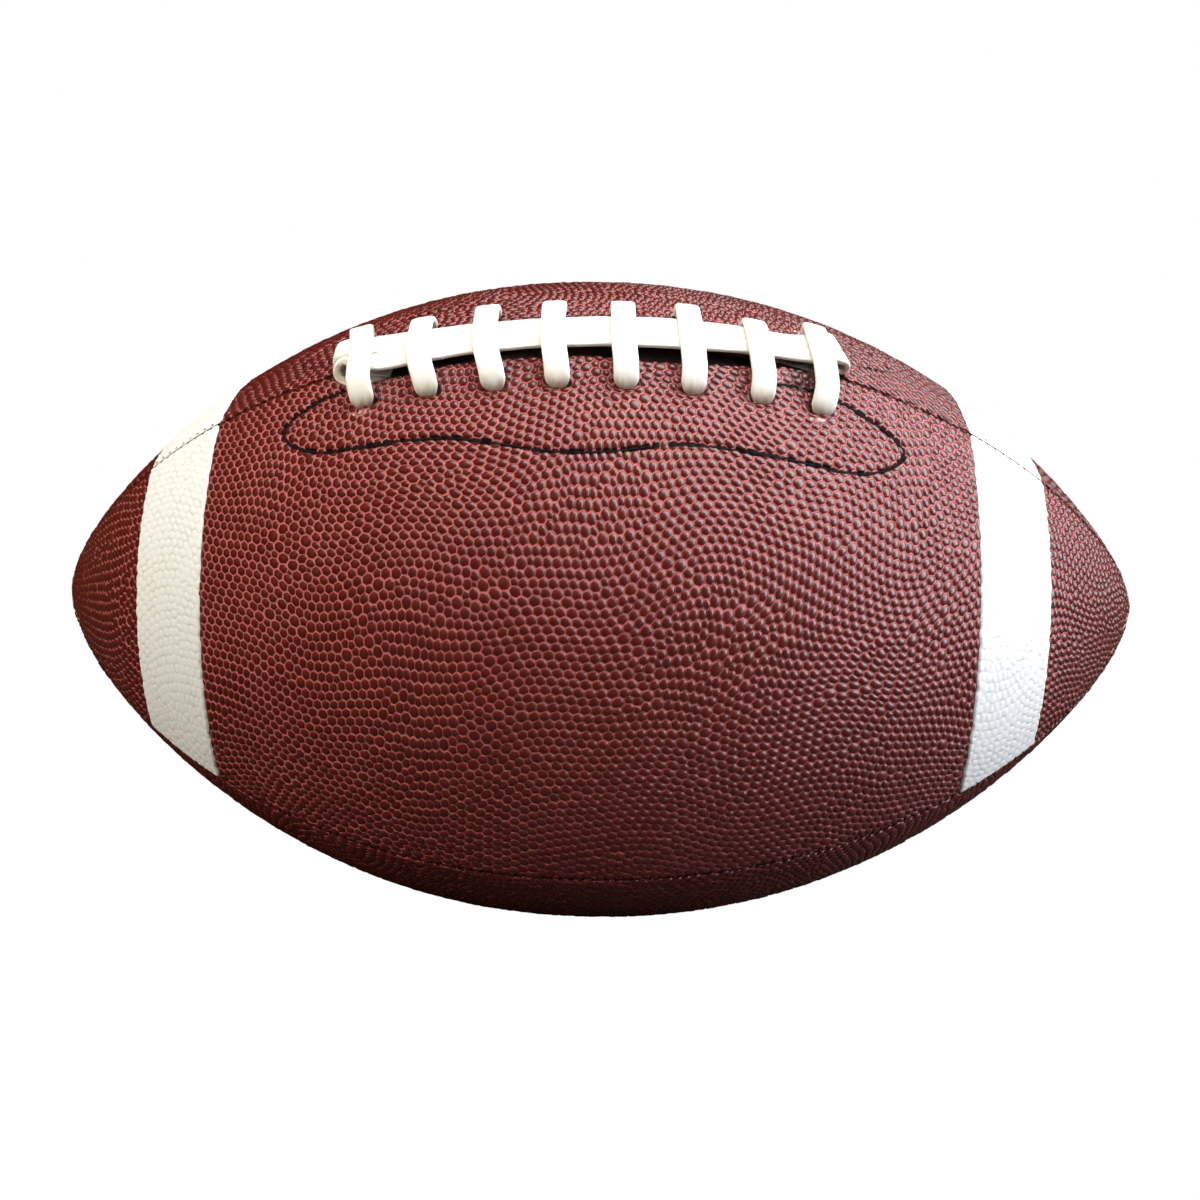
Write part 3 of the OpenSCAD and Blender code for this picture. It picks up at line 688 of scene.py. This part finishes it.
strand_x = [-62, -57, -52, -44, -32, -16, -1, 20, 36, 45, 50, 54, 60]
strand_width = [6.0, 6.0, 6.1, 6.1, 5.5, 5.1, 5.15, 5.2, 4.55, 4.35, 4.9, 5.45, 5.45]
near_y = [0.9, 0.9, -0.2, -1.65, -1.4, -1.1, -0.6, 0.2, 1.7, 2.6, 3.2, 3.85, 3.85]
far_y = [5.0, 5.0, 4.9, 4.5, 3.85, 3.75, 4.3, 5.2, 6.0, 6.75, 8.0, 9.2, 9.2]
right_stop = 57.15
height_x = [-55, -50, -44, 46, 53.3, 55.3]
near_height = [0.95, 0.75, 0.7, 0.7, 1.4, 3.05]
far_height = [2.0, 1.2, 0.7, 0.7, 1.4, 3.05]
for table_y, table_z, left, left_radius in ((near_y, near_height, -56.35, 2.3),
                                            (far_y, far_height, -57.2, 2.0)):
    folds = ((left, -1, left_radius), (right_stop, 1, 1.35))
    x = np.linspace(left, right_stop, 160)
    path = np.stack([x, np.zeros(160), ridge(x) + np.interp(x, height_x, table_z)], 1)
    ends = []
    for stop, out, radius in folds:
        tilt = fall(stop)
        turn = np.linspace(0, 1.06 * math.pi, 18)[1:]
        loop_x = radius * np.sin(turn)
        loop_z = radius * (np.cos(turn) - 1)
        tail = np.linspace(0.4, 6 - 2.2 * out, 8)
        loop_x = np.concatenate([loop_x, loop_x[-1] - tail])
        loop_z = np.concatenate([loop_z, loop_z[-1] - (0.8 + 0.3 * out) * tail])
        base = np.array([stop, 0, ridge(stop) + np.interp(stop, height_x, table_z)])
        spot = np.stack([loop_x * out * math.cos(tilt) + loop_z * math.sin(tilt), 0 * loop_x,
                         -loop_x * out * math.sin(tilt) + loop_z * math.cos(tilt)], 1) + base
        ends.append(spot)
    path = even(np.concatenate([ends[0][::-1], path, ends[1]]), 330)
    window = np.hanning(17) / np.hanning(17).sum()
    drift = np.pad(np.interp(path[:, 0], strand_x, table_y), 8, "edge")
    path[:, 1] = np.convolve(drift, window, "valid")
    path[:, 2] += 0.06 * np.sin(path[:, 0] * 2 * math.pi / 14.9 + 0.6)
    thick = np.interp(path[:, 0], [-54.5, -52.5, 48, 54], [2.2, 1.3, 1.3, lace_thick])
    ribbon(path, (0, 1, 0), np.interp(path[:, 0], strand_x, strand_width), thick)
    spots, foot = lace_points[-1], lace_foot[-1]
    under = spots[:, 2] - ridge(spots[:, 0]) - np.interp(spots[:, 0], height_x, table_z)
    # Painted shadow on the underside of the strands near their right end.
    foot[(np.abs(spots[:, 0] - 48) < 6) & (under < -0.35)] = 1.8
    for stop, out, radius in folds:
        middle = ridge(stop) + np.interp(stop, height_x, table_z) - radius
        # Painted shade inside each fold.
        inner = np.hypot(spots[:, 0] - stop, spots[:, 2] - middle) < radius - 0.2
        foot[inner & (spots[:, 0] * out > abs(stop) - radius)] = 1.0
        if table_y is near_y and out < 0:
            turn = np.clip((-52 - spots[:, 0]) / 4.5, 0, 1)
            turn = math.radians(40) * turn * turn * (3 - 2 * turn)
            y, z = spots[:, 1] - 0.9, spots[:, 2] - middle
            spots[:, 1] = 0.9 + y * np.cos(turn) + z * np.sin(turn)
            spots[:, 2] = middle - y * np.sin(turn) + z * np.cos(turn)
        if out > 0:
            # Painted shade along the near edge of the right fold.
            edge = (spots[:, 1] < 1.5) & (spots[:, 0] > stop - 2) & (spots[:, 2] < middle + radius + 0.6)
            foot[edge] = np.maximum(foot[edge], 0.45)
    skew = np.clip((spots[:, 0] - 48) / 7, 0, 1)
    spots[:, 0] -= 0.28 * (spots[:, 1] - 1.1) * skew * skew * (3 - 2 * skew)

for number in range(bar_count - 1):
    way = 1 if number % 2 == 0 else -1
    holes, reach = (far_holes, far_reach) if way > 0 else (near_holes, near_reach)
    x = np.linspace(holes[number] - 1.5, holes[number + 1] + 1.5, 12)
    y = np.interp(x, holes, reach)
    path = np.stack([x, way * y, roof(x, y, run_depth)], 1)
    ribbon(path, (0, 1, -way * 0.25), 5.4)

lace = piece("lace_whole", spin(np.concatenate(lace_points), 0.5),
             [f for group in lace_faces for f in group], foot=np.concatenate(lace_foot))
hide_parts("lace")
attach(lace, "root")


def lace_wear(v):
    """Fine streaks along the vinyl."""
    streak = v.node("Mapping", {}, {"Vector": v.place(), "Rotation": (0.7, 0.0, 0.5), "Scale": (900, 260, 260)})
    return v.node("TexNoise", {}, {"Vector": streak, "Scale": 1.0, "Detail": 3.0}, "Fac")


# White vinyl with fine streaks. Painted shade and a painted warm reflection of the leather turn it beige at the
# bars' lower ends and inside the folds. A painted shadow turns it dark brown under the strands' right end.
lace.data.materials.append(finish(
    "lace_vinyl",
    lambda v: (v.kept("foot") * 0.8 + (lace_wear(v) - 0.5) * v.kept("foot") * 1.2).between(0.15, 1.05).mixed(
        (v.noise(70, 4) * 0.6 + lace_wear(v) * 0.4).between(0.3, 0.7).mixed(
            (0.83, 0.795, 0.72, 1), (0.88, 0.87, 0.83, 1)),
        v.kept("foot").between(1.0, 1.6).mixed((0.50, 0.38, 0.27, 1), (0.05, 0.016, 0.010, 1))),
    0.42,
    lambda v: lace_wear(v) + v.noise(2500, 3) * 0.5,
    0.00004,
))


# Threads
# Waxed black thread. It is pulled tight across the grooves of the four seams in short stitches, and a
# lockstitch of it holds the two facings along a line round the lacing, pressed into the leather.

thread_thick = 0.55
thread_sides = 8
seam_end = 138
facing_points = 1400


def tube(points, thickness):
    """A round thread along a line of points."""
    along_it = np.gradient(points, axis=0)
    along_it /= np.sqrt((along_it ** 2).sum(1))[:, None]
    side = np.cross(along_it, points / np.sqrt((points ** 2).sum(1))[:, None])
    side /= np.sqrt((side ** 2).sum(1))[:, None]
    up = np.cross(side, along_it)
    turn = np.linspace(0, 2 * math.pi, thread_sides, endpoint=False)
    rings = points[:, None] + (side[:, None] * np.cos(turn)[None, :, None]
                               + up[:, None] * np.sin(turn)[None, :, None]) * thickness / 2
    first = np.arange(thread_sides)
    ends = np.stack([first, thread_sides * len(points) - 1 - first])
    return rings.reshape(-1, 3), [walls(len(points), thread_sides), ends]


def thread_piece(name, runs):
    """One thread, made of one or more runs."""
    points, faces, base = [], [], 0
    for run in runs:
        spots, sides = tube(run, thread_thick)
        faces += [f + base for f in sides]
        base += len(spots)
        points.append(spots)
    made = piece("stitches_" + name, np.concatenate(points), faces)
    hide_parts(name)
    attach(made, "root")
    made.data.materials.append(thread)


thread = finish(
    "waxed_thread",
    lambda v: v.noise(1500, 3).mixed((0.008, 0.005, 0.005, 1), (0.022, 0.015, 0.014, 1)),
    0.85,
    lambda v: v.noise(4000, 2),
    0.00005,
    Specular_IOR_Level=0.08,
)
stitch = np.array([(0, -0.15, 0.9), (0.05, -0.42, 0.5), (0.12, -0.3, 0.3), (0.2, 0, 0.24), (0.28, 0.3, 0.3),
                   (0.35, 0.42, 0.5), (0.42, 0.15, 0.9), (1.0, 0, 1.0), (1.9, 0, 1.0)])


def seam_run(first, last, quarters):
    """Stitches along a seam from one place on the ball's length to another."""
    starts = np.arange(first, last - stitch_step, stitch_step)
    spots = (starts[:, None, None] * np.array([1.0, 0, 0]) + stitch[None]).reshape(-1, 3)
    x, y, depth = spots.T
    tilt = fall(x)
    depth = depth + 0.45
    points = np.stack([x - depth * np.sin(tilt), y, ridge(x) - depth * np.cos(tilt)], 1)
    return spin(points, quarters + 0.5)


thread_piece("seam_thread_lace", [seam_run(-seam_end, -65, 0), seam_run(65, seam_end, 0)])
for k, name in ((1, "seam_thread_front"), (2, "seam_thread_bottom"), (3, "seam_thread_back")):
    thread_piece(name, [seam_run(-seam_end, seam_end, k)])
for panel in ("panel_front", "panel_top"):
    line = even(facing_line(panel), facing_points)
    far = np.arange(facing_points) * np.hypot(*(line[1] - line[0])) / 2.5
    lift = -1.02 + 0.3 * np.abs(np.sin(math.pi * far)) ** 0.7 + 0.12 * np.sin(far * 1.7)
    thread_piece("facing_thread_" + panel[6:], [lay(panel, line[:, 0], line[:, 1], lift)])


# Inside of the ball
# Cotton lining glued to the panels, two facings and a tongue of split leather round the opening, and a
# black rubber bladder with its valve. They keep the shape of the build and get their finish here.


def weave(v, way):
    """The cloth's threads in one direction."""
    return v.node("TexWave", {"bands_direction": way}, {"Vector": v.place(), "Scale": 260.0}, "Fac")


cloth = finish(
    "lining_cloth",
    lambda v: (v.noise(1400, 2) * 0.5 + v.noise(120, 3) * 0.5).mixed(
        (0.55, 0.51, 0.42, 1), (0.72, 0.69, 0.60, 1)),
    0.85,
    lambda v: weave(v, "X") + weave(v, "Z"),
    0.0002,
)
split_leather = finish(
    "split_leather",
    lambda v: v.noise(420, 5).mixed((0.070, 0.040, 0.040, 1), (0.150, 0.095, 0.095, 1)),
    0.9,
    lambda v: v.noise(1800, 4),
    0.0003,
)
rubber = finish(
    "bladder_rubber",
    lambda v: v.noise(60, 4).mixed((0.016, 0.016, 0.017, 1), (0.032, 0.031, 0.031, 1)),
    lambda v: v.noise(90, 3) * 0.2 + 0.5,
    lambda v: v.noise(900, 2),
    0.0001,
)
for name, node in nodes.items():
    for start, made in (("lining", cloth), ("facing_front", split_leather), ("facing_top", split_leather),
                        ("tongue", split_leather), ("bladder", rubber), ("valve", rubber)):
        if name.startswith(start):
            for spot in node.material_slots:
                spot.material = made


# Camera, light and floor
# The camera stands almost level with the ball, 360 mm from its middle, as the photograph's did. A large
# soft lamp on the right gives the leather its sheen, and two more light it from above and from the left.
# The floor and the room are white to the camera and nearly black to everything else.

frame_px = 1200
middle_px = (594.53, 598.67)
focal_px = 1321.84
sensor_mm = 36
camera_far = 0.3575
camera_roll = 0.0157
floor_half = 6

to_camera = Vector((0.0301, -0.998, 0.0556)).normalized()
camera = bpy.data.objects.new("camera", bpy.data.cameras.new("camera"))
scene.collection.objects.link(camera)
scene.camera = camera
camera.data.sensor_width = sensor_mm
camera.data.lens = focal_px / frame_px * sensor_mm
camera.data.shift_x = (frame_px / 2 - middle_px[0]) / frame_px
camera.data.shift_y = (middle_px[1] - frame_px / 2) / frame_px
camera.data.clip_start = 0.01
aim = (-to_camera).to_track_quat("-Z", "Y").to_matrix() @ Matrix.Rotation(camera_roll, 3, "Z")
camera.matrix_world = Matrix.Translation(to_camera * camera_far) @ aim.to_4x4()


def lamp(name, place, size, power, colour=(1, 1, 1)):
    """A soft lamp that points at the ball."""
    made = bpy.data.objects.new(name, bpy.data.lights.new(name, "AREA"))
    made.data.shape = "RECTANGLE"
    made.data.size, made.data.size_y = size
    made.data.energy = power
    made.data.color = colour
    made.location = place
    made.rotation_euler = (-Vector(place)).to_track_quat("-Z", "Y").to_euler()
    scene.collection.objects.link(made)
    return made


lamp("lamp_key", (0.82, -0.30, 0.42), (0.7, 1.0), 17, (0.87, 0.92, 1.0))
lamp("lamp_top", (0.22, -0.16, 0.76), (0.8, 0.6), 8.2)
lamp("lamp_left", (-0.69, -0.61, 0.40), (0.7, 0.7), 9.3, (1.0, 0.955, 0.82)).visible_glossy = False

room = bpy.data.worlds.new("room")
scene.world = room
room.use_nodes = True
air = Shade(room.node_tree)
sight = air.node("LightPath", out="Is Camera Ray")
glow = room.node_tree.nodes["Background"]
room.node_tree.links.new(glow.inputs["Color"], sight.mixed((0.02, 0.02, 0.02, 1), (1, 1, 1, 1)).socket)

floor_mesh = bpy.data.meshes.new("floor")
floor_mesh.from_pydata([(x * floor_half, y * floor_half, cad_box[0][2])
                        for x, y in ((-1, -1), (1, -1), (1, 1), (-1, 1))], [], [(0, 1, 2, 3)])
floor = bpy.data.objects.new("floor", floor_mesh)
scene.collection.objects.link(floor)
floor_white = bpy.data.materials.new("floor_white")
floor_white.use_nodes = True
tree = floor_white.node_tree
pale = tree.nodes["Principled BSDF"]
pale.inputs["Base Color"].default_value = (0.03, 0.028, 0.025, 1)
pale.inputs["Roughness"].default_value = 0.9
ground = Shade(tree)
white = ground.node("Emission", {}, {"Color": (1, 1, 1, 1), "Strength": 1.12})
seen = ground.node("LightPath", out="Is Camera Ray") * 0.9
both = ground.node("MixShader", {}, {0: seen, 1: Shade(tree, pale.outputs[0]), 2: white})
tree.links.new(tree.nodes["Material Output"].inputs["Surface"], both.socket)
floor_mesh.materials.append(floor_white)

scene.view_settings.view_transform = "Standard"
